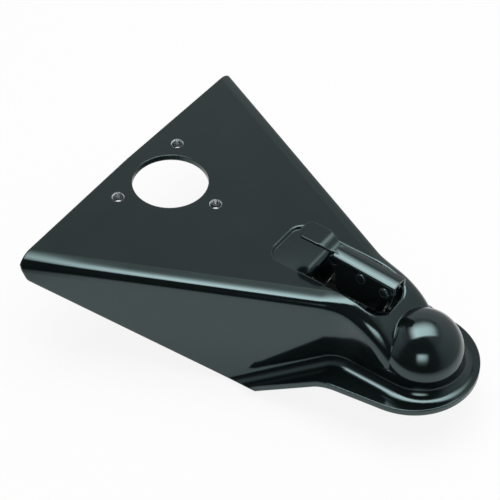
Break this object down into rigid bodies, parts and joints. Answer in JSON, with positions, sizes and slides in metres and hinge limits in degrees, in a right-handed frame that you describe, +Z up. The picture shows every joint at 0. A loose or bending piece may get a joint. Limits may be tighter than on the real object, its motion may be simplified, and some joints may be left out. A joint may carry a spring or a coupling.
{
  "type": "trailer coupling head",
  "caption": "Pressed steel A-frame trailer coupling head with a domed ball socket, a flared lip, a lift-up latch handle, an underjaw on an adjustable link and a jack hole in its top plate.",
  "frame": {"origin": "centre of the jack hole, on the upper face of the top plate", "axes": "+X forward from the jack hole to the ball, +Z up out of the top plate, +Y to the left when facing forward"},
  "size_m": [0.3081, 0.2578, 0.1193],
  "materials": {
    "shell_paint": "gloss black paint on steel plate",
    "latch_paint": "gloss black paint on steel",
    "zinc_steel": "zinc-plated steel",
    "spring_steel": "oiled spring steel"
  },
  "bodies": {
    "root": {"coupler_body": "shell_paint", "latch_bracket_left": "latch_paint", "latch_bracket_right": "latch_paint", "handle_pivot_pin": "latch_paint", "handle_pin_clip": "latch_paint", "lock_lug": "latch_paint", "clamp_pivot_pin": "zinc_steel", "thrust_washer_left": "zinc_steel", "thrust_washer_right": "zinc_steel", "spacer_tube_left": "zinc_steel", "spacer_tube_right": "zinc_steel"},
    "handle": {"latch_handle": "latch_paint", "eye_bolt_pin": "latch_paint", "eye_bolt_clip": "latch_paint"},
    "link": {"eye_bolt": "zinc_steel", "clamp_trunnion": "zinc_steel", "spring_washer": "zinc_steel", "clamp_spring": "spring_steel", "nut_washer": "zinc_steel", "adjusting_nut": "zinc_steel"},
    "clamp": {"ball_clamp": "latch_paint"}
  },
  "joints": [
    {"name": "handle_lift", "type": "hinge", "parent": "root", "child": "handle", "pos_m": [0.1955, 0, 0.0065], "axis": [0, 1, 0], "range_deg": [0, 45]},
    {"name": "clamp_swing", "type": "hinge", "parent": "root", "child": "clamp", "pos_m": [0.182, 0, -0.034], "axis": [0, 1, 0], "range_deg": [0, 45]},
    {"name": "link_swing", "type": "hinge", "parent": "handle", "child": "link", "pos_m": [0.1755, 0, 0.0085], "axis": [0, 1, 0], "range_deg": [-45, 0]}
  ],
  "couplings": [
    {"joint": "clamp_swing", "follows": "handle_lift", "ratio": 1},
    {"joint": "link_swing", "follows": "handle_lift", "ratio": -1}
  ]
}
